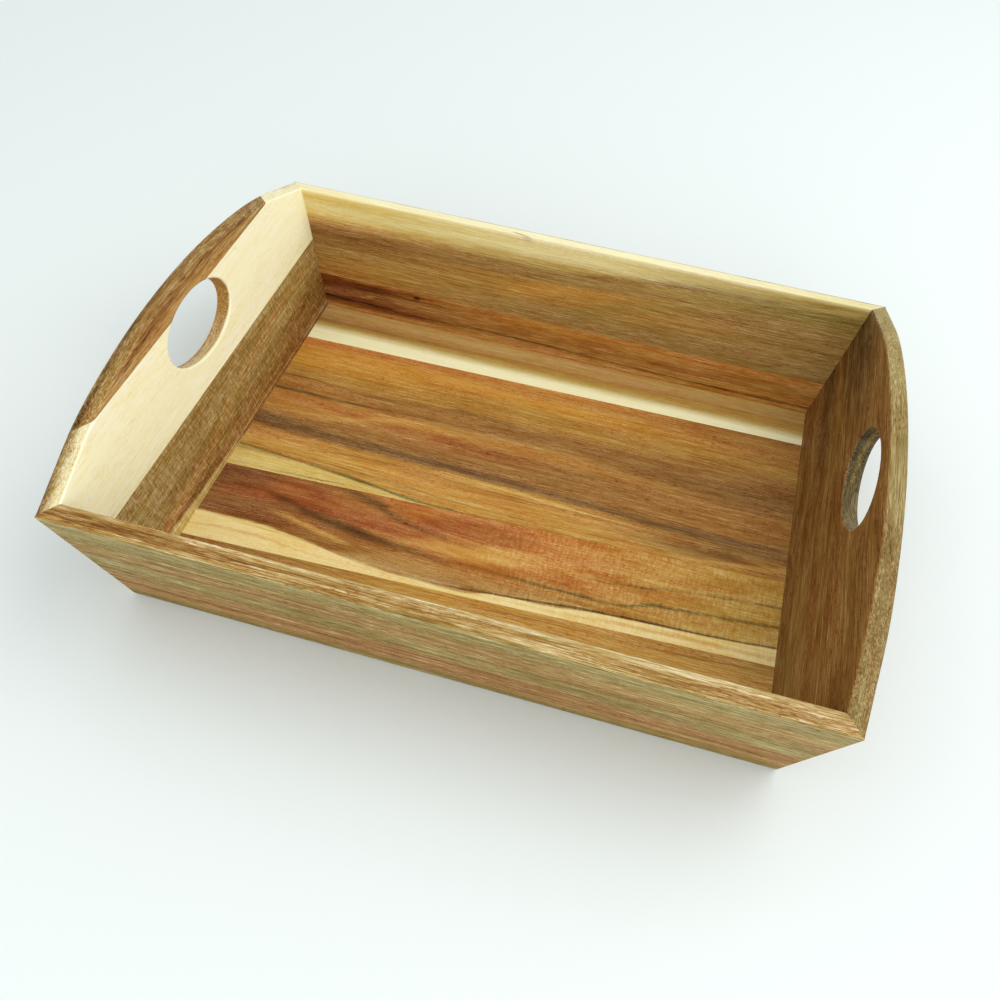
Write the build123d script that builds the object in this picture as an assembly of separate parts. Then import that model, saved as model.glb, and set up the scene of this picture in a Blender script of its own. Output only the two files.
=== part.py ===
from build123d import *
import os
from math import asin, cos, degrees, radians, sin, tan

# A flared wooden serving tray. Four boards lean outward and meet in mitred corners, the two end
# boards rise in an arch over an oval hand hole, and a thin floor sits in a groove inside them.
# Boards and floor are glued up from staves, and a loose spline is hidden in each corner.
#
# Millimetres. The origin is on the surface that the tray stands on, under its middle: +Z is up,
# +X runs along the tray to the right end, and +Y runs across it to the rear wall.

# Driving dimensions
base_length = 400.0          # outside, where the walls stand on the table
base_width = 293.0
lean = 13.0                  # degrees that every wall leans outward
board = 11.0                 # thickness of the wall boards
rim_height = 98.5            # long walls and corners, measured up the lean

crown_radius = 500.0         # flat curve of the end boards' arch over the hand hole
crown_half_width = 100.0
shoulder_radius = 225.0      # rounder curve on each side of the crown
ramp_angle = 20.2            # degrees that the arch drops at from its shoulders to the corners

hand_hole_length = 76.0
hand_hole_height = 43.2
hand_hole_centre = 97.2      # measured up the lean

floor_underside = 3.0        # gap between the floor and the table
floor_thickness = 5.5
groove_depth = 5.0           # how far the groove is cut into the walls
groove_gap = 0.4             # room in the groove for the floor to swell

rim_outer_round = 1.8        # sanded edges
rim_inner_chamfer = 0.5
foot_round = 2.5
hand_hole_round = 1.0
corner_flat = 0.9            # width of the sanded flat on each outside corner

spline_thickness = 3.0
spline_width = 10.0
spline_length = 68.0
spline_low_end = 16.0        # height of its lower end
spline_inset = 1.8           # how far it sits inside the middle of the mitre, in x and in y

# Glue joints: height up the lean in a wall, and y at the left and right ends in the floor
rear_wall_joint = 33.0
front_wall_joint = 15.0
left_end_lower_joint = 60.0
left_end_cap_joint = 115.3
floor_front_joint = (-101.0, -85.5)
floor_middle_joint = (-38.0, -22.0)
floor_rear_joint = (97.6, 103.5)

# Worked out from them
lean_rad = radians(lean)
half_length = base_length / 2
half_width = base_width / 2
wall_depth = board / cos(lean_rad)                  # level distance through a leaning board
floor_top = floor_underside + floor_thickness
floor_inset = wall_depth - floor_top * tan(lean_rad)
inner_half_length = half_length - floor_inset       # where the floor meets the walls
inner_half_width = half_width - floor_inset
corner_reach = half_width + rim_height * sin(lean_rad)      # y of the rim's outside corners
arch_shrink = 1 - board * cos(lean_rad) / corner_reach      # inner corners' y, as a share of that
crown_turn = asin(crown_half_width / crown_radius)
shoulder_end = crown_half_width + shoulder_radius * (sin(radians(ramp_angle)) - sin(crown_turn))
ramp_rise = (corner_reach - shoulder_end) * tan(radians(ramp_angle))
shoulder_rise = shoulder_radius * (cos(crown_turn) - cos(radians(ramp_angle)))
crown_rise = crown_radius * (1 - cos(crown_turn))
crown_height = rim_height + ramp_rise + shoulder_rise + crown_rise
spare = 40.0                                        # board beyond each mitre and below the foot
just = 0.01                                         # slack for finding edges by their place

right = Vector(1, 0, 0)
rear = Vector(0, 1, 0)


def long_blank():
    """A long wall's blank, flat with its outer face up: x runs along it and y up its lean."""
    blank_height = rim_height + spare
    outline = Rectangle(2 * (half_length + spare), blank_height)
    return extrude(Pos(0, rim_height - blank_height / 2) * outline, -board)


def end_blank():
    """An end board's blank: a crown, two shoulders and two ramps that run down to the corners.

    Through the board's thickness the arch draws in just as the mitres do, so along the mitres it
    stays flush with the long walls' rim.
    """
    span = half_width + spare
    crown = JernArc((0, crown_height), (1, 0), crown_radius, -degrees(crown_turn))
    shoulder = JernArc(crown @ 1, crown % 1, shoulder_radius, degrees(crown_turn) - ramp_angle)
    ramp_end = (span, rim_height - (span - corner_reach) * tan(radians(ramp_angle)))
    rest = Polyline(shoulder @ 1, ramp_end, (span, -spare), (0, -spare))
    half = Curve() + [crown, shoulder, rest]
    outer = make_face(half + mirror(half, Plane.YZ))
    inner = Pos(0, rim_height * (1 - arch_shrink), -board) * scale(outer, arch_shrink)
    return loft([outer, inner], ruled=True)


def wall_plane(outward, reach):
    """Outer face of a wall: x runs along it, y up its lean, and z points out of it."""
    along = Vector(-outward.Y, outward.X, 0)
    face_normal = outward * cos(lean_rad) - Vector(0, 0, sin(lean_rad))
    return Plane(origin=outward * reach, x_dir=along, z_dir=face_normal)


def rim_edges(stave, face_height, joints):
    """A stave's edges along the rim on one face of its board, without the glue joints' edges."""
    edges = stave.edges().filter_by_position(Axis.Z, face_height - just, face_height + just)
    edges = edges.filter_by_position(Axis.Y, rim_height - just, crown_height + just)
    for joint in joints:
        edges -= edges.filter_by_position(Axis.Y, joint - just, joint + just)
    return edges - edges.filter_by(GeomType.ELLIPSE)


def sanded(stave, joints):
    """Take the sharp edges off a stave that lies flat with its outer face up."""
    foot = stave.edges().filter_by_position(Axis.Z, -just, just)
    foot = foot.filter_by_position(Axis.Y, -just, just)
    if foot:
        stave = fillet(foot, foot_round)
    hand_hole = stave.edges().filter_by(GeomType.ELLIPSE)
    if hand_hole:
        stave = fillet(hand_hole, hand_hole_round)
    if rim_edges(stave, 0, joints):
        stave = fillet(rim_edges(stave, 0, joints), rim_outer_round)
        stave = chamfer(rim_edges(stave, -board, joints), rim_inner_chamfer)
    return stave


def flat_staves(blank, joints, has_hand_hole):
    """A board's staves from the lowest up, lying flat with the outer face up and the foot level."""
    table = Plane(origin=(0, 0, 0), z_dir=(0, cos(lean_rad), -sin(lean_rad)))
    blank = split(blank, bisect_by=table, keep=Keep.TOP)
    if has_hand_hole:
        oval = Ellipse(hand_hole_length / 2, hand_hole_height / 2)
        blank -= extrude(Pos(0, hand_hole_centre) * oval, -board)
    staves = []
    for joint in joints:
        cut = Plane(origin=(0, joint, 0), z_dir=(0, 1, 0))
        staves.append(sanded(split(blank, bisect_by=cut, keep=Keep.BOTTOM), joints))
        blank = split(blank, bisect_by=cut, keep=Keep.TOP)
    return staves + [sanded(blank, joints)]


def corner_line(side_x, side_y):
    """Direction of an outside corner, up the lean of both walls."""
    return Vector(side_x * tan(lean_rad), side_y * tan(lean_rad), 1).normalized()


def corner_spline(side_x, side_y):
    """The loose tongue across a mitre, and the slot that it fills in both walls."""
    inset = wall_depth / 2 + spline_inset - spline_low_end * tan(lean_rad)
    low_end = Vector(side_x * (half_length - inset), side_y * (half_width - inset), spline_low_end)
    across = Vector(side_x, -side_y, 0).normalized()
    seat = Plane(origin=low_end, x_dir=across, z_dir=corner_line(side_x, side_y))
    tongue_align = (Align.CENTER, Align.CENTER, Align.MIN)
    return seat.location * Box(spline_width, spline_thickness, spline_length, align=tongue_align)


def mitred(stave, outward, reach, side_reach):
    """Cut a stave's two mitres and take the sharp arris off its outside corners."""
    along = Vector(-outward.Y, outward.X, 0)
    for end in (-1, 1):
        corner = outward * reach + along * (end * side_reach)
        mitre = Plane(origin=corner, z_dir=along * end - outward)
        stave = split(stave, bisect_by=mitre, keep=Keep.BOTTOM)
        diagonal = along * end + outward
        line = corner_line(diagonal.X, diagonal.Y)
        arris_normal = (diagonal - line * diagonal.dot(line)).normalized()
        arris = Plane(origin=corner - arris_normal * (corner_flat / 2), z_dir=arris_normal)
        stave = split(stave, bisect_by=arris, keep=Keep.BOTTOM)
    return stave


def floor_blank(edge):
    """The floor panel's block, reaching this far past the walls' inner faces."""
    block = Box(2 * (inner_half_length + edge), 2 * (inner_half_width + edge), floor_thickness)
    return Pos(0, 0, floor_underside + floor_thickness / 2) * block


def make_wall(outward, joints):
    """One wall's staves from the lowest up."""
    is_end = abs(outward.X) > abs(outward.Y)
    reach = half_length if is_end else half_width
    side_reach = half_width if is_end else half_length
    blank = end_blank() if is_end else long_blank()
    face = wall_plane(outward, reach)
    staves = []
    for flat_stave in flat_staves(blank, joints, is_end):
        stave = mitred(face.location * flat_stave, outward, reach, side_reach)
        stave -= floor_blank(groove_depth)
        for side_x in (-1, 1):
            for side_y in (-1, 1):
                stave -= corner_spline(side_x, side_y)
        staves.append(stave)
    return staves


def make_floor(joints):
    """The floor panel's staves from the front to the rear."""
    panel = floor_blank(groove_depth - groove_gap)
    staves = []
    for left_y, right_y in joints:
        start = Vector(-inner_half_length, left_y, 0)
        run = Vector(inner_half_length, right_y, 0) - start
        cut = Plane(origin=start, x_dir=run, z_dir=Vector(-run.Y, run.X, 0))
        staves.append(split(panel, bisect_by=cut, keep=Keep.BOTTOM))
        panel = split(panel, bisect_by=cut, keep=Keep.TOP)
    staves.append(panel)
    return staves


tray = {}


def name_staves(names, staves):
    """File each stave under its name."""
    for name, stave in zip(names, staves, strict=True):
        tray[name] = stave


name_staves(
    ("floor_stave_front", "floor_stave_heartwood", "floor_stave_wide", "floor_stave_rear"),
    make_floor((floor_front_joint, floor_middle_joint, floor_rear_joint)),
)
name_staves(("front_wall_lower_stave", "front_wall_upper_stave"), make_wall(-rear, (front_wall_joint,)))
name_staves(("rear_wall_lower_stave", "rear_wall_upper_stave"), make_wall(rear, (rear_wall_joint,)))
name_staves(
    ("left_end_lower_stave", "left_end_middle_stave", "left_end_cap_stave"),
    make_wall(-right, (left_end_lower_joint, left_end_cap_joint)),
)
name_staves(("right_end_board",), make_wall(right, ()))
for depth_name, side_y in (("front", -1), ("rear", 1)):
    for end_name, side_x in (("left", -1), ("right", 1)):
        tray[f"corner_spline_{depth_name}_{end_name}"] = corner_spline(side_x, side_y)

os.makedirs("parts", exist_ok=True)
for node, piece in tray.items():
    export_step(piece, f"parts/{node}.step")
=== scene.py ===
import math

import bpy
from mathutils import Matrix, Vector

# Looks of a flared acacia serving tray. Every piece of the CAD part keeps its own mesh and gets a
# solid, procedural wood: colour, pores, gloss and relief depend on a place's millimetres along,
# across and into its board, so the figure runs on over the rim, round the hand holes and underneath.

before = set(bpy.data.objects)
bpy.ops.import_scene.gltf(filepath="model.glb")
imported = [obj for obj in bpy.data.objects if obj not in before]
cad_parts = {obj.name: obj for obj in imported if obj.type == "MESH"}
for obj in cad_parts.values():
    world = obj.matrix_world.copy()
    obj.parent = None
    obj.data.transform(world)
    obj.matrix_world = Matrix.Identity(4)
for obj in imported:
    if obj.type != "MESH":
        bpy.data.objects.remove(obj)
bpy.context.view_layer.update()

MM = 0.001

# The boards, as in the CAD part, in millimetres
lean = math.radians(13.0)
half_length = 200.0
half_width = 146.5
floor_top = 8.5

# ---------------------------------------------------------------- colours

PALETTE = {
    "ivory": "f8f2cd",
    "sapwood": "ede6b9",
    "cream": "efd796",
    "buff": "dacb8e",
    "straw": "d5bb70",
    "khaki": "b3974f",
    "brass": "c39b4c",
    "honey": "d3a657",
    "gold": "bf9044",
    "tan": "a97e39",
    "fawn": "b38b50",
    "caramel": "b4803d",
    "amber": "c18c3b",
    "copper": "c0803f",
    "russet": "a25f2f",
    "mahogany": "89582f",
    "brick": "763c10",
    "cinnamon": "a27134",
    "chestnut": "966a35",
    "brown": "865f2d",
    "umber": "5c421e",
    "plum": "6f5030",
    "walnut": "3c260e",
    "olive": "8c753a",
    "drab": "98773f",
    "moss": "5a5826",
    "taupe": "a5894f",
    "bone": "d2c393",
    "ash": "9c8a56",
    "stone": "877143",
    "slate": "54482e",
    "grey_olive": "94844e",
}


def linear(name):
    """A palette colour as scene-linear RGBA."""
    code = PALETTE[name]
    channels = [int(code[i:i + 2], 16) / 255 for i in (0, 2, 4)]
    return [c / 12.92 if c <= 0.04045 else ((c + 0.055) / 1.055) ** 2.4 for c in channels] + [1.0]


# ---------------------------------------------------------------- node helpers


class Graph:
    """A material's node tree, built from plain function calls. Numbers and sockets mix freely."""

    def __init__(self, name):
        self.material = bpy.data.materials.new(name)
        self.material.use_nodes = True
        self.tree = self.material.node_tree
        self.tree.nodes.clear()

    def node(self, kind, **settings):
        made = self.tree.nodes.new(kind)
        for key, value in settings.items():
            setattr(made, key, value)
        return made

    def feed(self, socket, value):
        if isinstance(value, bpy.types.NodeSocket):
            self.tree.links.new(value, socket)
        else:
            socket.default_value = value

    def math(self, operation, a, b=0.0, c=0.0):
        made = self.node("ShaderNodeMath", operation=operation)
        for socket, value in zip(made.inputs, (a, b, c)):
            self.feed(socket, value)
        return made.outputs[0]

    def add(self, a, b):
        return self.math("ADD", a, b)

    def subtract(self, a, b):
        return self.math("SUBTRACT", a, b)

    def multiply(self, a, b):
        return self.math("MULTIPLY", a, b)

    def scaled(self, value, factor, offset=0.0):
        return self.math("MULTIPLY_ADD", value, factor, offset)

    def step(self, value, low, high):
        """0 at low and 1 at high, smooth in between. High may be the smaller one."""
        made = self.node("ShaderNodeMapRange", interpolation_type="SMOOTHSTEP")
        for socket, given in zip(made.inputs, (value, low, high, 0.0, 1.0)):
            self.feed(socket, given)
        return made.outputs[0]

    def vector(self, x, y, z):
        made = self.node("ShaderNodeCombineXYZ")
        for socket, value in zip(made.inputs, (x, y, z)):
            self.feed(socket, value)
        return made.outputs[0]

    def noise(self, place, scale=1.0, detail=2.0, roughness=0.5, distortion=0.0):
        made = self.node("ShaderNodeTexNoise")
        self.feed(made.inputs["Vector"], place)
        made.inputs["Scale"].default_value = scale
        made.inputs["Detail"].default_value = detail
        made.inputs["Roughness"].default_value = roughness
        made.inputs["Distortion"].default_value = distortion
        return made.outputs["Fac"]

    def mix(self, factor, a, b, blend="MIX"):
        made = self.node("ShaderNodeMix", data_type="RGBA", blend_type=blend)
        for socket, value in zip([made.inputs[i] for i in (0, 6, 7)], (factor, a, b)):
            self.feed(socket, value)
        return made.outputs[2]

    def ramp(self, value, low, high, stops):
        """Palette colours at places between low and high."""
        made = self.node("ShaderNodeValToRGB")
        elements = made.color_ramp.elements
        while len(elements) < len(stops):
            elements.new(0.5)
        for element, (place, colour) in zip(elements, stops):
            element.position = (place - low) / (high - low)
        for element, (place, colour) in zip(elements, stops):
            element.color = linear(colour)
        self.feed(made.inputs[0], self.math("DIVIDE", self.subtract(value, low), high - low))
        return made.outputs[0]

    def curve(self, value, points, low, high):
        """A smooth curve through given (place, number) points, numbers from low to high."""
        first, last = points[0][0], points[-1][0]
        made = self.node("ShaderNodeFloatCurve")
        curve = made.mapping.curves[0]
        while len(curve.points) < len(points):
            curve.points.new(0.5, 0.5)
        for knot, (place, number) in zip(curve.points, points):
            knot.location = ((place - first) / (last - first), (number - low) / (high - low))
            knot.handle_type = "AUTO_CLAMPED"
        made.mapping.update()
        self.feed(made.inputs["Value"], self.math("DIVIDE", self.subtract(value, first), last - first))
        return self.scaled(made.outputs[0], high - low, low)


# ---------------------------------------------------------------- boards and their wood


class Board:
    """A board's own axes in the frame: along its grain, across its face, and depth from that face."""

    def __init__(self, origin, along, across, depth):
        self.origin = Vector(origin)
        self.axes = [Vector(axis) for axis in (along, across, depth)]

    def coordinates(self, graph):
        """Millimetres along, across and into the board."""
        place = graph.node("ShaderNodeTexCoord").outputs["Object"]
        found = []
        for axis in self.axes:
            dot = graph.node("ShaderNodeVectorMath", operation="DOT_PRODUCT")
            graph.feed(dot.inputs[0], place)
            dot.inputs[1].default_value = axis
            found.append(graph.scaled(dot.outputs["Value"], 1 / MM, -self.origin.dot(axis)))
        return found


def wall_board(outward, along, reach):
    """A wall's axes: up its lean from the foot, and in from the outer face."""
    outward = Vector(outward)
    up = outward * math.sin(lean) + Vector((0, 0, math.cos(lean)))
    inward = Vector((0, 0, math.sin(lean))) - outward * math.cos(lean)
    return Board(outward * reach, along, up, inward)


BOARDS = {
    "floor": Board((0, 0, floor_top), (1, 0, 0), (0, 1, 0), (0, 0, -1)),
    "front": wall_board((0, -1, 0), (1, 0, 0), half_width),
    "rear": wall_board((0, 1, 0), (1, 0, 0), half_width),
    "left": wall_board((-1, 0, 0), (0, 1, 0), half_length),
    "right": wall_board((1, 0, 0), (0, 1, 0), half_length),
}


class Streak:
    """A streak of another colour. Its line holds (along, across, half width, strength) points.

    With axis="depth" it runs inside the board's thickness, and shows on rims and in the hand hole.
    within: the reach across the board, low to high, that a depth streak keeps to.
    """

    def __init__(self, colour, line, soft=0.6, axis="across", ragged=0.5, within=None):
        self.colour = colour
        self.line = line
        self.soft = soft
        self.axis = axis
        self.ragged = ragged
        self.within = within


class Wood:
    """How one stave looks.

    ground: (across, left colour, middle colour, right colour) rows from low to high.
    span: the stave's reach along the grain to each side, where the left and right colours hold.
    wander: millimetres that the grain drifts sideways.
    grain, pores, speckle, clouds, ripple: strengths of the growth layers, the dark pores, the fine
    specks, the dark clouds and the ripple across the grain.
    ripple_fade: where along the board the ripple sets in.
    tone: darker and deeper above 0, paler below; on the front wall it is partly painted shade.
    seed: shifts the noises, so that no two staves are alike.
    """

    def __init__(self, board, ground, streaks=(), span=190.0, wander=5.0, grain=0.5, pores=0.5,
                 speckle=0.5, tone=0.0, clouds=0.0, ripple=0.0, ripple_fade=None, seed=1.0):
        self.board = BOARDS[board]
        self.ground = ground
        self.streaks = streaks
        self.span = span
        self.wander = wander
        self.grain = grain
        self.pores = pores
        self.speckle = speckle
        self.tone = tone
        self.clouds = clouds
        self.ripple = ripple
        self.ripple_fade = ripple_fade
        self.seed = seed


# Reach in millimetres, along and across the grain, of its slow drift and its small raggedness
DRIFT = (150, 45)
RAGGEDNESS = (22, 5)


def swaying_place(graph, wood, size, along, across, depth):
    """Where to sample a noise that changes over this length along the board and width across."""
    length, width = size
    return graph.vector(
        graph.scaled(along, 1 / length, wood.seed),
        graph.scaled(across, 1 / width),
        graph.scaled(depth, 1 / width),
    )


def drifted(graph, wood, along, across, depth):
    """The across coordinate after the grain's slow drift, and a small raggedness about 0."""
    slow = graph.noise(swaying_place(graph, wood, DRIFT, along, across, depth), detail=1.0)
    drift = graph.scaled(slow, 2 * wood.wander, -wood.wander)
    fine_place = swaying_place(graph, wood, RAGGEDNESS, along, across, depth)
    fine = graph.scaled(graph.noise(fine_place, detail=5.0, roughness=0.68), 2.0, -1.0)
    return graph.add(across, drift), fine


def ground_colour(graph, wood, along, across):
    """The stave's broad colours across the grain, blended from its left end to its right end."""
    low, high = wood.ground[0][0], wood.ground[-1][0]
    left, middle, right = (
        graph.ramp(across, low, high, [(row[0], row[side]) for row in wood.ground]) for side in (1, 2, 3)
    )
    colour = graph.mix(graph.step(along, -wood.span, -0.05 * wood.span), left, middle)
    return graph.mix(graph.step(along, 0.05 * wood.span, wood.span), colour, right)


def laid_streak(graph, colour, streak, along, across, depth, fine):
    """The colour with one streak laid over it."""
    side = across if streak.axis == "across" else depth
    centres = [(point[0], point[1]) for point in streak.line]
    widths = [(point[0], point[2]) for point in streak.line]
    strengths = [(point[0], point[3]) for point in streak.line]
    lowest = min(centre for _, centre in centres) - 1.0
    highest = max(centre for _, centre in centres) + 1.0
    centre = graph.curve(along, centres, lowest, highest)
    width = graph.curve(along, widths, 0.0, max(width for _, width in widths))
    strength = graph.curve(along, strengths, 0.0, 1.0)
    gap = graph.math("ABSOLUTE", graph.subtract(side, centre))
    gap = graph.math("MULTIPLY_ADD", fine, streak.ragged * streak.soft, gap)
    inside = graph.step(graph.subtract(gap, width), streak.soft, -streak.soft)
    if streak.within:
        low, high = streak.within
        inside = graph.multiply(inside, graph.step(across, low - 1.0, low + 1.0))
        inside = graph.multiply(inside, graph.step(across, high + 1.0, high - 1.0))
    return graph.mix(graph.multiply(inside, strength), colour, linear(streak.colour))


# Length and width in millimetres of each kind of figure, drawn out along the grain
PATCH = (60, 8)
BROAD_LAYER = (90, 4.5)
NARROW_LAYER = (26, 1.1)
FINE_LINE = (120, 0.6)
THREAD = (9, 0.4)
SPECK = (1.6, 0.5)
VEIN = (40, 0.8)
CLOUD = (55, 13)
RIPPLE = (1.8, 6)
PORE = (4.0, 0.45)


class Figure:
    """The noises of one stave, which its colour, gloss and relief share."""

    def __init__(self, graph, wood):
        self.graph = graph
        self.wood = wood
        self.along, self.across, self.depth = wood.board.coordinates(graph)
        self.drifted_across, self.fine = drifted(graph, wood, self.along, self.across, self.depth)
        self.patch = self.fibres(PATCH, detail=3.0)
        self.narrow = self.fibres(NARROW_LAYER, detail=3.0, roughness=0.65)
        self.thread = self.fibres(THREAD, detail=1.0)
        self.pore = self.pores()

    def fibres(self, size, **settings):
        """Noise drawn out along the grain, in fibres of about this length and width."""
        graph = self.graph
        length, width = size
        place = graph.vector(
            graph.scaled(self.along, 1 / length, self.wood.seed),
            graph.scaled(self.drifted_across, 1 / width, self.wood.seed),
            graph.scaled(self.depth, 1 / width),
        )
        return graph.noise(place, **settings)

    def pores(self):
        """Open pores: short dark dashes on the face, dots on end grain."""
        graph = self.graph
        dashes = graph.step(self.fibres(PORE, detail=1.0), 0.56, 0.66)
        return graph.multiply(dashes, graph.step(self.patch, 0.62, 0.40))

    def ripple(self):
        """Ripple across the grain, which doesn't drift with it."""
        place = swaying_place(self.graph, self.wood, RIPPLE, self.along, self.across, self.depth)
        return self.graph.noise(place, detail=1.0, distortion=0.5)


def centred(graph, value, reach):
    """A noise made to swing by about this much to each side of 0, rising where the noise falls."""
    return graph.scaled(value, -2 * reach, reach)


def wood_density(graph, wood, figure):
    """How much darker or paler than the ground colour each place is, about 0 on average."""
    broad = figure.fibres(BROAD_LAYER, detail=4.0, roughness=0.62)
    line = figure.fibres(FINE_LINE, detail=2.0)
    speck = figure.fibres(SPECK, detail=1.0)
    layers = (
        (figure.narrow, 0.6 * wood.grain),
        (line, 0.55 * wood.grain),
        (figure.thread, 0.65 * wood.grain),
        (speck, 0.40 * wood.speckle),
    )
    density = centred(graph, broad, 0.5 * wood.grain)
    for noise, reach in layers:
        density = graph.add(density, centred(graph, noise, reach))
    vein = graph.step(figure.fibres(VEIN, detail=2.0), 0.42, 0.30)
    vein = graph.multiply(vein, graph.step(figure.patch, 0.40, 0.60))
    density = graph.math("MULTIPLY_ADD", vein, 0.5 * wood.grain, density)
    if wood.clouds:
        cloud = figure.fibres(CLOUD, detail=4.0, roughness=0.6)
        density = graph.math("MULTIPLY_ADD", graph.step(cloud, 0.46, 0.66), wood.clouds, density)
    if wood.ripple:
        here = graph.step(figure.along, *wood.ripple_fade) if wood.ripple_fade else 1.0
        ripple = centred(graph, figure.ripple(), wood.ripple)
        density = graph.math("MULTIPLY_ADD", ripple, here, density)
    return graph.math("MULTIPLY_ADD", figure.pore, wood.pores, density)


def wood_colour(graph, wood, figure):
    """Ground colour and streaks, in warmer and cooler patches, deepened where the wood is dense and by
    the stave's tone, which on the front wall is partly painted shade.
    """
    colour = ground_colour(graph, wood, figure.along, figure.drifted_across)
    ragged = graph.math("MULTIPLY_ADD", figure.fine, 0.6, figure.across)
    for streak in wood.streaks:
        colour = laid_streak(graph, colour, streak, figure.along, ragged, figure.depth, figure.fine)
    tinted = graph.node("ShaderNodeHueSaturation")
    graph.feed(tinted.inputs["Hue"], graph.scaled(figure.patch, 0.03, 0.485))
    graph.feed(tinted.inputs["Color"], colour)
    density = wood_density(graph, wood, figure)
    deepened = graph.node("ShaderNodeGamma")
    graph.feed(deepened.inputs["Color"], tinted.outputs["Color"])
    # Gamma from density and the stave's tone; on the front wall that tone is partly painted shade.
    graph.feed(deepened.inputs["Gamma"], graph.math("MAXIMUM", graph.add(density, 1.0 + wood.tone), 0.3))
    return deepened.outputs["Color"]


def wood_relief(graph, figure):
    """The sanded grain's slight relief, with the pores as pits."""
    relief = graph.math("MULTIPLY_ADD", figure.narrow, 0.5, graph.scaled(figure.thread, 0.35))
    bump = graph.node("ShaderNodeBump")
    bump.inputs["Strength"].default_value = 0.35
    bump.inputs["Distance"].default_value = 0.12 * MM
    graph.feed(bump.inputs["Height"], graph.subtract(relief, figure.pore))
    return bump.outputs[0]


def wood_material(name, wood):
    """The stave's material: satin oiled wood."""
    graph = Graph(name)
    figure = Figure(graph, wood)
    gloss = graph.scaled(figure.narrow, -0.22, 0.62)
    shader = graph.node("ShaderNodeBsdfPrincipled")
    shader.inputs["IOR"].default_value = 1.48
    shader.inputs["Specular IOR Level"].default_value = 0.16
    graph.feed(shader.inputs["Base Color"], wood_colour(graph, wood, figure))
    graph.feed(shader.inputs["Roughness"], graph.math("MULTIPLY_ADD", figure.pore, 0.2, gloss))
    graph.feed(shader.inputs["Normal"], wood_relief(graph, figure))
    output = graph.node("ShaderNodeOutputMaterial")
    graph.feed(output.inputs["Surface"], shader.outputs[0])
    return graph.material


# ---------------------------------------------------------------- the staves

# Walls: across is up the lean from the foot, and ends run along y. Floor: across is y.

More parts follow.
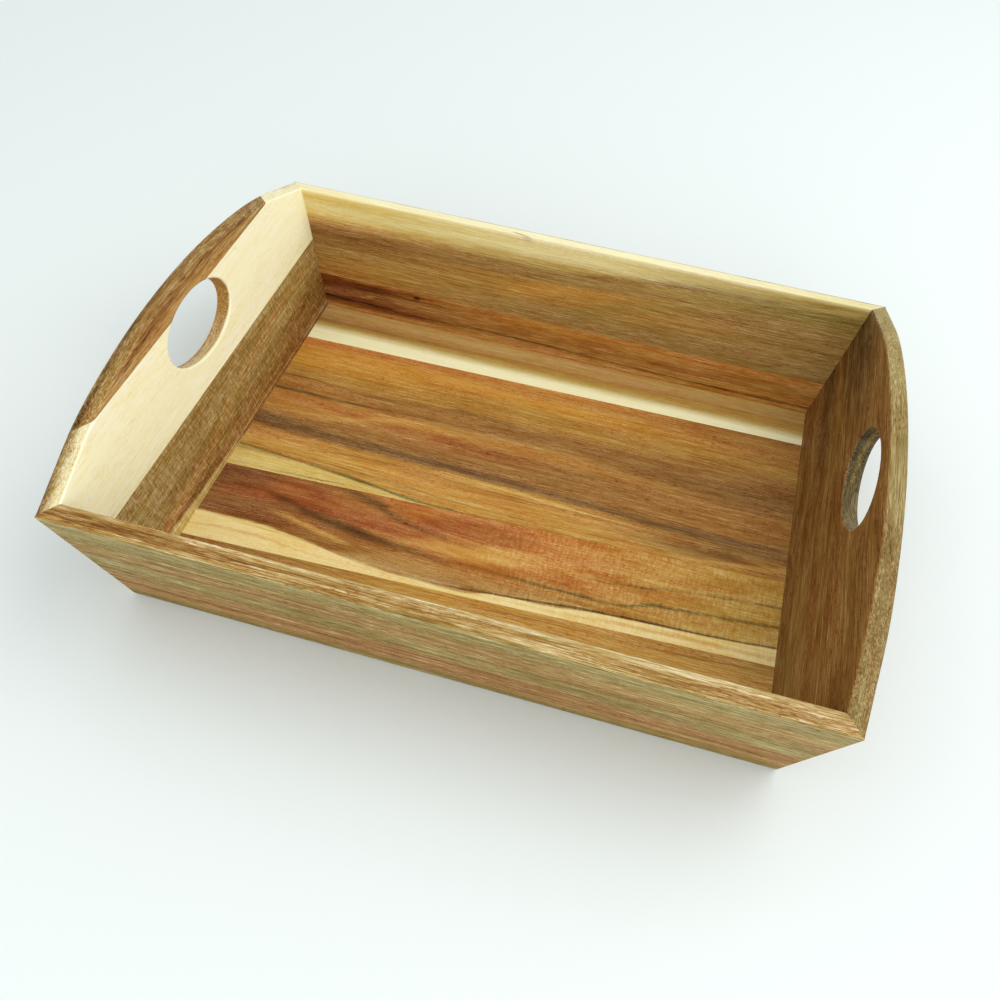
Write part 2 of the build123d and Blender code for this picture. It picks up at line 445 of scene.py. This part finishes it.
WOODS = {
    # Pale sapwood in front of a brown line, fawn behind it
    "floor_stave_rear": Wood(
        "floor",
        [
            (95, "sapwood", "sapwood", "sapwood"),
            (108, "sapwood", "sapwood", "sapwood"),
            (115, "khaki", "khaki", "khaki"),
            (120, "chestnut", "tan", "tan"),
            (127, "fawn", "fawn", "fawn"),
            (140, "fawn", "fawn", "khaki"),
        ],
        [
            Streak("chestnut", [
                (-195, 119.5, 1.0, 0.9), (-60, 121, 1.0, 0.6), (40, 123, 1.2, 0.5),
                (195, 124, 0.8, 0.3)
            ], soft=1.2),
            Streak("straw", [
                (-195, 131, 2.0, 0.1), (0, 132, 2.0, 0.2), (195, 131, 1.0, 0.0)
            ], soft=2.0),
        ],
        wander=1.0, grain=0.5, pores=0.15, seed=3.1,
    ),
    # Golden brown heartwood with dark veins, and a sapwood wedge at its front left. It browns towards
    # its right end, partly in its wood and partly as painted shade by the right end wall
    "floor_stave_wide": Wood(
        "floor",
        [
            # The right column is partly painted shade by the right end wall.
            (-40, "gold", "gold", "gold"),
            (-24, "caramel", "gold", "gold"),
            (-16, "gold", "gold", "cinnamon"),
            (-10, "gold", "caramel", "cinnamon"),
            (-3, "caramel", "gold", "brown"),
            (5, "chestnut", "chestnut", "cinnamon"),
            (14, "chestnut", "chestnut", "cinnamon"),
            (26, "caramel", "chestnut", "cinnamon"),
            (35, "caramel", "caramel", "chestnut"),
            (44, "cinnamon", "chestnut", "brown"),
            (53, "cinnamon", "chestnut", "chestnut"),
            (61, "tan", "tan", "chestnut"),
            (72, "amber", "tan", "tan"),
            (84, "amber", "amber", "cinnamon"),
            (93, "copper", "caramel", "cinnamon"),
            (105, "caramel", "copper", "chestnut"),
        ],
        [
            Streak("russet", [
                (-195, 32, 5.0, 0.2), (-140, 33, 4.0, 0.4), (-90, 27, 7.0, 0.3),
                (-50, 24, 7.0, 0.4), (30, 24, 4.0, 0.0)
            ], soft=4.0),
            Streak("honey", [
                (-195, 20, 1.0, 0.1), (-140, 22, 2.0, 0.35), (-112, 30, 2.0, 0.4),
                (-85, 36, 2.0, 0.4), (-50, 37, 1.0, 0.0)
            ], soft=2.5, ragged=1.2),
            Streak("umber", [
                (-195, 40.5, 1.5, 0.75), (-130, 41, 1.1, 0.75), (-90, 42.5, 0.5, 0.5),
                (-20, 45, 0.5, 0.2), (195, 48, 0.5, 0.2)
            ], soft=1.1, ragged=1.2),
            Streak("umber", [
                (-195, 53, 0.8, 0.3), (-165, 55, 0.6, 0.6), (-140, 50, 0.6, 0.2),
                (-112, 52, 0.9, 0.6), (-80, 50, 0.5, 0.2), (-55, 58, 1.2, 0.5), (10, 55, 1.0, 0.3),
                (195, 58, 0.6, 0.1)
            ], soft=1.6, ragged=1.4),
            Streak("plum", [
                (-195, 9, 6.5, 0.85), (-120, 5, 4.0, 0.7), (-40, 4.5, 3.4, 0.85), (40, 2, 2.4, 0.8),
                (120, 0, 2.8, 0.8), (195, 4, 2.0, 0.5)
            ], soft=3.0, ragged=1.5),
            # Browner towards the right end: partly the wood, partly painted shade by the right end wall.
            Streak("brown", [
                (60, -12, 2.0, 0.0), (110, -14, 5.0, 0.6), (145, -13, 6.0, 0.8),
                (175, -8, 3.0, 0.2), (195, -6, 2.0, 0.0)
            ], soft=4.0, ragged=1.2),
            Streak("brown", [
                (30, 38, 2.0, 0.0), (80, 39, 3.5, 0.5), (140, 38, 5.0, 0.5), (195, 36, 6.0, 0.4)
            ], soft=3.0, ragged=1.2),
            Streak("straw", [
                (-60, 0, 0.0, 0.0), (0, -3, 0.9, 0.5), (60, -6, 1.0, 0.45), (130, -7, 0.5, 0.0)
            ], soft=0.9, ragged=1.2),
            Streak("honey", [
                (-140, -11, 0.8, 0.0), (-90, -11, 2.2, 0.5), (-50, -15, 1.4, 0.5),
                (0, -12, 1.2, 0.4), (60, -11, 1.6, 0.5), (110, -11, 0.8, 0.0)
            ], soft=1.6, ragged=1.3),
            Streak("brown", [
                (-150, -12, 0.4, 0.3), (-80, -5, 0.5, 0.6), (0, -8, 0.5, 0.5), (100, -9, 0.4, 0.2)
            ], soft=0.6, ragged=1.2),
            Streak("brown", [
                (-150, -17, 0.4, 0.5), (-80, -20, 0.6, 0.6), (0, -24, 0.5, 0.5),
                (100, -20, 0.4, 0.3)
            ], soft=0.6, ragged=1.2),
            Streak("straw", [
                (-195, -29, 10.5, 1.0), (-140, -30, 7.6, 1.0), (-90, -31, 4.6, 0.9),
                (-40, -33.5, 1.8, 0.85), (0, -34, 0.2, 0.5), (60, -40, 0.0, 0.0)
            ], soft=1.1, ragged=1.6),
            Streak("olive", [
                (-195, -21, 2.2, 0.5), (-140, -22, 1.2, 0.5), (-90, -27, 1.2, 0.4),
                (-40, -31, 0.6, 0.0)
            ], soft=1.6, ragged=1.4),
            Streak("moss", [
                (-195, -18, 0.8, 0.6), (-140, -22, 0.7, 0.5), (-90, -26.5, 1.0, 0.75),
                (-40, -30.8, 0.7, 0.8), (40, -28.5, 0.5, 0.6), (110, -25, 0.3, 0.3),
                (195, -22, 0.3, 0.0)
            ], soft=0.8, ragged=2.0),
            Streak("moss", [
                (-195, -35, 0.3, 0.2), (-130, -33.5, 0.5, 0.5), (-90, -31, 0.3, 0.2),
                (-40, -33, 0.0, 0.0)
            ], soft=0.7, ragged=2.0),
            Streak("honey", [
                (110, -24, 0.5, 0.0), (150, -19, 1.5, 0.5), (195, -13, 2.0, 0.6)
            ], soft=1.5),
            Streak("honey", [
                (20, -33, 1.5, 0.0), (70, -33, 2.5, 0.6), (120, -32, 2.5, 0.3), (195, -30, 2.0, 0.0)
            ], soft=2.0),
        ],
        wander=2.5, grain=0.7, pores=0.5, speckle=0.7, clouds=0.15, seed=7.4,
    ),
    # Heartwood, red brown at the left and brassy at the right, with a wavy sapwood edge in front
    "floor_stave_heartwood": Wood(
        "floor",
        [
            (-104, "cream", "cream", "cream"),
            (-86, "cinnamon", "fawn", "khaki"),
            (-74, "mahogany", "caramel", "brass"),
            (-62, "mahogany", "copper", "brass"),
            (-48, "mahogany", "copper", "brass"),
            (-34, "mahogany", "copper", "brass"),
            (-20, "mahogany", "copper", "brass"),
        ],
        [
            Streak("russet", [
                (-195, -62, 8, 0.2), (-140, -50, 9, 0.9), (-70, -57, 6, 0.8), (-20, -42, 9, 0.8),
                (40, -42, 6, 0.0)
            ], soft=5.0, ragged=0.8),
            Streak("plum", [(-195, -50, 10, 0.3), (-165, -46, 8, 0.35), (-145, -40, 3, 0.0)], soft=6.0),
            Streak("honey", [
                (-150, -66, 1.0, 0.0), (-130, -69, 1.6, 0.7), (-105, -74, 1.8, 0.8),
                (-85, -78, 1.0, 0.0)
            ], soft=2.0, ragged=1.6),
            Streak("umber", [
                (-160, -50, 2.0, 0.2), (-130, -59, 2.5, 0.6), (-95, -65, 3.5, 0.75),
                (-50, -70, 2.5, 0.55), (0, -72, 1.5, 0.0)
            ], soft=2.8, ragged=1.3),
            Streak("umber", [
                (-110, -34, 3.0, 0.3), (-84, -40, 3.8, 0.7), (-60, -49, 2.5, 0.6),
                (-20, -55, 1.5, 0.3), (10, -56, 1.0, 0.0)
            ], soft=3.0, ragged=1.3),
            Streak("honey", [
                (-60, -60, 1.0, 0.0), (-20, -62, 4.0, 0.6), (10, -58, 7.0, 0.75),
                (50, -54, 5.0, 0.4), (90, -54, 3.0, 0.0)
            ], soft=4.0, ragged=0.8),
            Streak("moss", [
                (10, -70, 0.8, 0.3), (45, -71, 1.0, 0.7), (80, -71, 0.9, 0.7),
                (115, -64, 1.4, 0.75), (150, -61, 1.0, 0.6), (195, -57, 0.8, 0.7)
            ], soft=1.2, ragged=2.2),
            Streak("moss", [
                (40, -60, 0.4, 0.0), (90, -55, 0.7, 0.45), (140, -47, 0.9, 0.5),
                (195, -42, 0.8, 0.6)
            ], soft=1.2, ragged=2.2),
            Streak("cream", [
                (-195, -95, 14.5, 1.0), (-150, -94, 14.5, 1.0), (-115, -96, 13.0, 1.0),
                (-79, -100, 12.0, 1.0), (-44, -102, 12.0, 1.0), (-11, -102, 11.0, 1.0),
                (14, -98, 12.0, 1.0), (49, -97, 12.5, 1.0), (80, -93, 13.0, 1.0),
                (111, -91, 13.5, 1.0), (154, -89, 13.5, 1.0), (195, -86, 14.0, 1.0)
            ], soft=1.0, ragged=1.8),
            Streak("honey", [
                (-195, -92, 0.8, 0.5), (-150, -89, 0.8, 0.5), (-100, -92, 0.5, 0.3),
                (40, -88, 0.4, 0.3), (110, -83, 1.4, 0.6), (195, -80, 1.4, 0.5)
            ], soft=1.4, ragged=2.0),
            Streak("umber", [
                (-195, -80.0, 0.5, 0.1), (-115, -83.5, 0.5, 0.2), (-44, -90, 0.5, 0.3),
                (14, -86, 0.7, 0.85), (80, -79.5, 0.8, 0.95), (154, -75.5, 0.7, 0.9),
                (195, -72, 0.6, 0.85)
            ], soft=0.7, ragged=1.2),
        ],
        wander=4.0, grain=0.6, pores=0.5, speckle=1.0, clouds=0.35, ripple=0.4, ripple_fade=(-30, 30),
        seed=11.7,
    ),
    # Plain gold; the brown towards its rear left is painted shade in the corner by the front and left
    # walls
    "floor_stave_front": Wood(
        "floor",
        [
            (-140, "gold", "gold", "gold"),
            # The cinnamon and brown left column is painted shade of the front left corner.
            (-104, "cinnamon", "gold", "gold"),
            (-98, "brown", "gold", "gold"),
            (-84, "brown", "gold", "tan"),
        ],
        [
            Streak("umber", [
                (-10, -101, 0.3, 0.0), (20, -98, 0.4, 0.5), (70, -96, 0.3, 0.3),
                (120, -95, 0.3, 0.5), (190, -90, 0.3, 0.3)
            ], soft=0.6, ragged=1.5),
        ],
        wander=4.0, grain=0.8, pores=0.5, seed=15.2,
    ),
    # Red brown at the left, paler to the right, with a knot and a dark line
    "rear_wall_lower_stave": Wood(
        "rear",
        [
            (0, "caramel", "caramel", "caramel"),
            (8, "caramel", "caramel", "caramel"),
            (14, "brick", "cinnamon", "caramel"),
            (20, "mahogany", "cinnamon", "cinnamon"),
            (28, "brick", "caramel", "caramel"),
            (33, "brick", "caramel", "caramel"),
            (36, "brick", "gold", "caramel"),
        ],
        [
            Streak("copper", [
                (-140, 32, 0.6, 0.3), (-60, 32.5, 0.8, 0.4), (60, 32, 1.0, 0.4), (200, 31, 1.2, 0.4)
            ], soft=1.0),
            Streak("walnut", [
                (-200, 16.0, 1.2, 0.85), (-150, 14.5, 0.9, 0.8), (-110, 13.0, 0.6, 0.6),
                (-64, 14.5, 0.7, 0.6), (0, 13.5, 0.8, 0.6), (77, 11.5, 0.7, 0.6),
                (135, 11.0, 0.8, 0.6), (200, 11.0, 0.7, 0.6)
            ], soft=0.9, ragged=1.2),
            Streak("walnut", [
                (-200, 24.0, 0.4, 0.3), (-150, 27.0, 1.5, 0.5), (-110, 26.5, 0.6, 0.3),
                (-60, 25.0, 0.4, 0.0)
            ], soft=1.6, ragged=1.2),
            Streak("walnut", [
                (-121, 29.0, 0.0, 0.0), (-117, 29.0, 1.4, 0.9), (-113, 29.0, 0.0, 0.0)
            ], soft=0.8),
            Streak("khaki", [
                (-166, 20.0, 0.0, 0.0), (-158, 21.0, 0.9, 0.6), (-147, 22.5, 0.0, 0.0)
            ], soft=0.9, ragged=1.5),
        ],
        wander=1.5, grain=0.7, pores=0.35, clouds=0.2, seed=19.5,
    ),
    # Grey brown below, pale along the rim, with a brown band that climbs to the right
    "rear_wall_upper_stave": Wood(
        "rear",
        [
            (30, "cinnamon", "drab", "drab"),
            (44, "tan", "drab", "drab"),
            (56, "drab", "tan", "drab"),
            (64, "brown", "tan", "drab"),
            (70, "brown", "drab", "drab"),
            (76, "fawn", "drab", "drab"),
            (82, "straw", "khaki", "olive"),
            (88, "buff", "buff", "olive"),
            (95, "straw", "buff", "khaki"),
            (100, "cream", "sapwood", "buff"),
        ],
        [
            Streak("sapwood", [
                (-230, 6.2, 5.4, 0.8), (0, 6.2, 5.4, 0.8), (230, 6.2, 5.4, 0.5)
            ], soft=0.8, axis="depth", within=(97, 105)),
            Streak("drab", [
                (-230, 0.4, 1.5, 0.8), (0, 0.4, 1.7, 0.8), (230, 0.4, 2.0, 0.8)
            ], soft=0.8, axis="depth", ragged=1.2, within=(97, 105)),
            Streak("brown", [
                (-50, 8.0, 0.0, 0.0), (-43, 9.4, 0.7, 0.8), (-34, 11.0, 0.2, 0.4)
            ], soft=0.6, axis="depth", ragged=0.8, within=(95, 105)),
            Streak("brown", [
                (-205, 69, 2.6, 0.5), (-120, 68, 3.0, 0.55), (-60, 67, 3.0, 0.4), (0, 75, 2.2, 0.6),
                (60, 83, 2.2, 0.7), (130, 88, 1.5, 0.6), (205, 95, 0.8, 0.4)
            ], soft=3.0, ragged=1.2),
            Streak("brown", [
                (-200, 41, 0.5, 0.5), (-130, 40.5, 0.5, 0.5), (-70, 43, 0.6, 0.5),
                (-40, 51, 0.5, 0.3), (0, 58, 0.4, 0.0)
            ], soft=0.9, ragged=1.2),
            Streak("gold", [
                (-60, 52, 1.0, 0.0), (-30, 57, 5.0, 0.6), (0, 63, 4.0, 0.6), (50, 68, 3.0, 0.4),
                (120, 76, 2.0, 0.0)
            ], soft=3.0),
            Streak("olive", [
                (-10, 40, 2.0, 0.0), (20, 50, 6.0, 0.4), (60, 62, 4.0, 0.4), (120, 68, 3.0, 0.0)
            ], soft=4.0),
            Streak("brown", [
                (100, 34, 0.6, 0.0), (150, 37, 0.8, 0.5), (175, 47, 0.9, 0.5), (205, 57, 0.8, 0.4)
            ], soft=1.2, ragged=1.2),
        ],
        wander=3.0, grain=0.65, pores=0.3, seed=23.8,
    ),
    # Rippled grey brown, with a sapwood edge low at the front
    "left_end_lower_stave": Wood(
        "left",
        [
            (0, "brown", "chestnut", "brown"),
            (14, "brown", "chestnut", "brown"),
            (26, "taupe", "drab", "brown"),
            (38, "taupe", "taupe", "drab"),
            (50, "taupe", "drab", "taupe"),
            (62, "taupe", "taupe", "taupe"),
        ],
        [
            Streak("copper", [
                (-140, 18, 2.0, 0.5), (-100, 21, 3.0, 0.5), (-60, 24, 3.0, 0.3), (0, 38, 2.0, 0.3),
                (60, 46, 2.0, 0.3), (140, 50, 2.0, 0.2)
            ], soft=3.0, ragged=1.2),
            Streak("brown", [
                (-140, 26, 0.8, 0.3), (-60, 30, 1.0, 0.5), (-10, 42, 1.0, 0.4), (60, 51, 1.0, 0.4),
                (140, 57, 1.0, 0.3)
            ], soft=1.5, ragged=1.4),
            Streak("straw", [
                (-140, 2.0, 15.0, 0.85), (-106, 2.0, 13.0, 0.85), (-60, 2.0, 9.5, 0.7),
                (-20, 0.0, 8.0, 0.5), (20, -10.0, 2.0, 0.0)
            ], soft=1.4, ragged=1.6),
            Streak("cream", [(-140, 9.4, 0.5, 0.4), (140, 9.4, 0.4, 0.3)], soft=0.5),
        ],
        span=140.0, wander=3.0, grain=0.8, pores=0.5, speckle=0.8, ripple=0.5, seed=27.3,
    ),
    # Cream sapwood, with darker wood along its outer side, thickest near the front
    "left_end_middle_stave": Wood(
        "left",
        [
            (55, "sapwood", "ivory", "sapwood"),
            (75, "ivory", "ivory", "ivory"),
            (95, "ivory", "ivory", "ivory"),
            (118, "ivory", "ivory", "ivory"),
        ],
        [
            Streak("bone", [
                (-175, 5.2, 5.0, 0.8), (-90, 5.2, 5.0, 0.7), (-60, 5.2, 5.0, 0.3),
                (90, 5.2, 5.0, 0.3), (165, 5.2, 5.0, 0.5)
            ], soft=0.4, axis="depth"),
            Streak("drab", [
                (-175, 0.0, 5.8, 0.9), (-120, 0.0, 5.6, 0.9), (-90, 0.0, 5.0, 0.6),
                (100, 0.0, 2.0, 0.5), (165, 0.0, 2.0, 0.5)
            ], soft=2.6, axis="depth", ragged=1.6),
            Streak("umber", [
                (-175, -0.5, 2.6, 0.8), (-120, -0.5, 2.4, 0.8), (-95, -0.5, 2.0, 0.5),
                (-80, -0.5, 1.0, 0.0)
            ], soft=1.6, axis="depth", ragged=1.6),
            Streak("tan", [
                (-60, 4.5, 0.0, 0.0), (-42, 4.5, 4.6, 0.6), (10, 4.5, 4.6, 0.8),
                (42, 4.5, 5.2, 1.0), (60, 4.5, 0.0, 0.0)
            ], soft=1.0, axis="depth", ragged=1.2),
        ],
        span=140.0, wander=3.0, grain=1.0, pores=0.9, speckle=0.6, tone=0.02, seed=31.6,
    ),
    # Brown with red brown veins
    "left_end_cap_stave": Wood(
        "left",
        [
            (112, "fawn", "fawn", "fawn"),
            (120, "fawn", "fawn", "drab"),
            (126, "chestnut", "chestnut", "drab"),
            (134, "drab", "drab", "fawn"),
        ],
        [
            Streak("mahogany", [
                (-110, 118, 1.0, 0.6), (-40, 124, 1.4, 0.8), (20, 126, 1.2, 0.7),
                (80, 122, 1.4, 0.8), (110, 119, 1.0, 0.6)
            ], soft=1.5, ragged=1.6),
            Streak("umber", [
                (-110, 115, 0.4, 0.6), (-60, 121, 0.5, 0.6), (0, 127, 0.4, 0.6),
                (60, 124, 0.5, 0.5), (110, 117, 0.4, 0.5)
            ], soft=0.8, ragged=1.6),
            Streak("drab", [
                (-120, 5.2, 4.9, 0.9), (-30, 5.2, 4.9, 0.8), (60, 5.2, 4.9, 0.5)
            ], soft=0.7, axis="depth"),
            Streak("umber", [
                (-120, 2.5, 2.0, 0.8), (-80, 3.5, 1.6, 0.7), (-20, 2.5, 1.2, 0.5),
                (40, 5.0, 0.8, 0.4), (110, 3.0, 0.6, 0.3)
            ], soft=1.6, axis="depth", ragged=2.0),
        ],
        span=110.0, wander=2.0, grain=1.0, pores=0.6, speckle=0.6, seed=35.9,
    ),
    # Straight dark brown grain, greyer on the rim and in the hand hole. The rim's paler colour against
    # the dark inner face is partly painted light: the rim top as lit, the inner face as in shade
    "right_end_board": Wood(
        "right",
        [
            (0, "drab", "brown", "brown"),
            (25, "drab", "brown", "brown"),
            (45, "chestnut", "brown", "umber"),
            (60, "chestnut", "brown", "brown"),
            (75, "chestnut", "brown", "umber"),
            (95, "brown", "brown", "umber"),
            (112, "brown", "brown", "brown"),
            (125, "brown", "brown", "brown"),
            (131, "drab", "drab", "drab"),
        ],
        [
            # The paler rim is partly painted light on the top against the shaded inner face.
            Streak("stone", [
                (-170, 5.2, 5.0, 0.95), (0, 5.2, 5.0, 0.95), (170, 5.2, 5.0, 0.9)
            ], soft=0.4, axis="depth"),
            Streak("ash", [
                (-90, 5.2, 5.0, 0.0), (40, 5.2, 5.0, 0.7), (170, 5.2, 5.0, 1.0)
            ], soft=0.4, axis="depth"),
            Streak("slate", [
                (-42, 5.2, 5.1, 0.2), (-25, 5.2, 5.1, 0.5), (10, 5.2, 5.1, 0.8),
                (39, 5.2, 5.1, 1.0), (45, 5.2, 5.1, 0.0)
            ], soft=0.3, axis="depth", within=(70, 121)),
            Streak("brown", [
                (-165, 2.0, 0.6, 0.3), (-140, 4.0, 0.9, 0.5), (-115, 7.5, 0.8, 0.5),
                (-95, 9.5, 0.5, 0.1)
            ], soft=1.0, axis="depth", ragged=1.8),
            Streak("brown", [
                (-120, 1.0, 0.4, 0.2), (-90, 3.5, 0.8, 0.5), (-60, 7.0, 0.7, 0.4),
                (-30, 9.0, 0.4, 0.0)
            ], soft=1.0, axis="depth", ragged=1.8),
            Streak("olive", [
                (-10, 8.0, 0.8, 0.0), (30, 5.0, 1.2, 0.6), (70, 3.0, 1.0, 0.5),
                (120, 6.0, 1.2, 0.5), (165, 4.0, 0.8, 0.2)
            ], soft=1.4, axis="depth", ragged=1.8),
        ],
        span=150.0, wander=5.0, grain=0.75, pores=0.5, speckle=0.2, clouds=0.2, tone=-0.03, seed=39.1,
    ),
    # Olive and grey brown stripes, fawn along the rim, deepened by a tone that is partly painted shade
    # of this outer face, which the front fill lamp lights
    "front_wall_upper_stave": Wood(
        "front",
        [
            (14, "fawn", "drab", "fawn"),
            (20, "chestnut", "chestnut", "drab"),
            (28, "drab", "chestnut", "chestnut"),
            (37, "drab", "chestnut", "drab"),
            (43, "olive", "olive", "grey_olive"),
            (54, "grey_olive", "olive", "olive"),
            (66, "drab", "drab", "drab"),
            (76, "olive", "drab", "taupe"),
            (86, "grey_olive", "olive", "grey_olive"),
            (94, "grey_olive", "grey_olive", "ash"),
            (99, "taupe", "ash", "ash"),
        ],
        [
            Streak("chestnut", [
                (-215, 61, 1.0, 0.2), (-140, 61, 3.0, 0.5), (-90, 65, 2.0, 0.4),
                (-40, 72, 1.0, 0.2), (60, 78, 1.0, 0.0)
            ], soft=2.0, ragged=1.4),
            Streak("brown", [
                (-215, 19, 0.3, 0.3), (-60, 20, 0.4, 0.4), (30, 20.5, 0.4, 0.4), (215, 17, 0.4, 0.4)
            ], soft=0.8),
            Streak("fawn", [(-230, 101, 2.6, 0.95), (230, 101, 2.6, 0.95)], soft=0.8),
            Streak("bone", [
                (-230, 9.8, 1.2, 0.2), (0, 9.6, 1.4, 0.3), (230, 9.6, 1.4, 0.3)
            ], soft=1.0, axis="depth", ragged=1.2, within=(97, 105)),
            Streak("brown", [
                (-230, 4.5, 3.6, 0.7), (-170, 5.5, 2.4, 0.7), (-110, 5.0, 1.6, 0.6),
                (-60, 6.5, 1.2, 0.3), (0, 3.5, 1.6, 0.2), (70, 6.0, 1.6, 0.15),
                (140, 4.5, 2.2, 0.2), (230, 4.0, 2.0, 0.3)
            ], soft=1.8, axis="depth", ragged=2.0, within=(97, 105)),
        ],
        # The tone here is partly painted shade of the outer face.
        wander=2.0, grain=1.3, pores=0.5, tone=0.05, seed=43.4,
    ),
    # Olive, with a dark line at the glue joint, deepened by a tone that is partly painted shade of this
    # outer face, which the front fill lamp lights
    "front_wall_lower_stave": Wood(
        "front",
        [
            (0, "olive", "olive", "olive"),
            (8, "olive", "olive", "olive"),
            (12, "drab", "drab", "drab"),
            (17, "taupe", "drab", "drab"),
        ],
        [
            Streak("brown", [(-215, 14.8, 0.3, 0.6), (215, 14.8, 0.3, 0.6)], soft=0.4, ragged=0.0),
        ],
        # The tone here is partly painted shade of the outer face.
        wander=1.0, grain=0.9, pores=0.4, tone=0.09, seed=47.7,
    ),
}

SPLINE_WOOD = [(-300, "straw", "straw", "straw"), (300, "straw", "straw", "straw")]


def dress(node, material):
    """Give a piece of the CAD part its material."""
    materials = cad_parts[node].data.materials
    materials.clear()
    materials.append(material)


for node, wood in WOODS.items():
    dress(node, wood_material(f"wood_{node}", wood))

spline_wood = wood_material("wood_corner_splines", Wood("floor", SPLINE_WOOD, seed=51.9))
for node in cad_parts:
    if node.startswith("corner_spline"):
        dress(node, spline_wood)

# ---------------------------------------------------------------- stage, light and camera


def pale_floor():
    """The pale table that the tray stands on."""
    size = 6.0
    mesh = bpy.data.meshes.new("table")
    corners = [(-size, -size, 0), (size, -size, 0), (size, size, 0), (-size, size, 0)]
    mesh.from_pydata(corners, [], [(0, 1, 2, 3)])
    table = bpy.data.objects.new("table", mesh)
    bpy.context.scene.collection.objects.link(table)
    graph = Graph("table")
    shader = graph.node("ShaderNodeBsdfPrincipled")
    shader.inputs["Base Color"].default_value = (0.755, 0.808, 0.802, 1.0)
    shader.inputs["Roughness"].default_value = 0.7
    shader.inputs["Specular IOR Level"].default_value = 0.2
    output = graph.node("ShaderNodeOutputMaterial")
    graph.feed(output.inputs["Surface"], shader.outputs[0])
    mesh.materials.append(graph.material)


def area_lamp(name, size, energy, place, colour):
    """A square soft lamp that points at the tray."""
    lamp = bpy.data.lights.new(name, "AREA")
    lamp.shape = "SQUARE"
    lamp.size = size
    lamp.energy = energy
    lamp.color = colour
    lit = bpy.data.objects.new(name, lamp)
    lit.location = place
    lit.rotation_euler = (-lit.location).to_track_quat("-Z", "Y").to_euler()
    bpy.context.scene.collection.objects.link(lit)


def studio_light():
    """An even bright room, a big soft window high on the right, and a faint fill low in front."""
    world = bpy.data.worlds.new("room")
    world.use_nodes = True
    background = world.node_tree.nodes["Background"]
    background.inputs["Color"].default_value = (0.98, 1.0, 1.0, 1.0)
    background.inputs["Strength"].default_value = 0.84
    bpy.context.scene.world = world
    area_lamp("window", 1.8, 17.0, (1.10, 0.35, 1.50), (1.0, 0.99, 0.97))
    area_lamp("front_fill", 1.4, 12.0, (0.15, -1.6, 0.55), (1.0, 1.0, 1.0))


def photo_camera():
    """The camera at the photograph's viewing angle: above the front wall, a little to the right."""
    data = bpy.data.cameras.new("camera")
    data.lens = 35.75
    data.sensor_width = 36.0
    data.shift_x = -0.0328
    data.shift_y = -0.0419
    camera = bpy.data.objects.new("camera", data)
    camera.location = Vector((98.25, -421.6, 532.3)) * MM
    azimuth, elevation, roll = (math.radians(angle) for angle in (11.30, 48.62, 5.11))
    back = Vector((math.sin(azimuth) * math.cos(elevation), -math.cos(azimuth) * math.cos(elevation),
                   math.sin(elevation)))
    right = Vector((math.cos(azimuth), math.sin(azimuth), 0))
    up = back.cross(right)
    rolled_right = right * math.cos(roll) + up * math.sin(roll)
    rolled_up = up * math.cos(roll) - right * math.sin(roll)
    camera.rotation_euler = Matrix((rolled_right, rolled_up, back)).transposed().to_euler()
    bpy.context.scene.collection.objects.link(camera)
    bpy.context.scene.camera = camera


pale_floor()
studio_light()
photo_camera()
bpy.context.scene.view_settings.view_transform = "Standard"
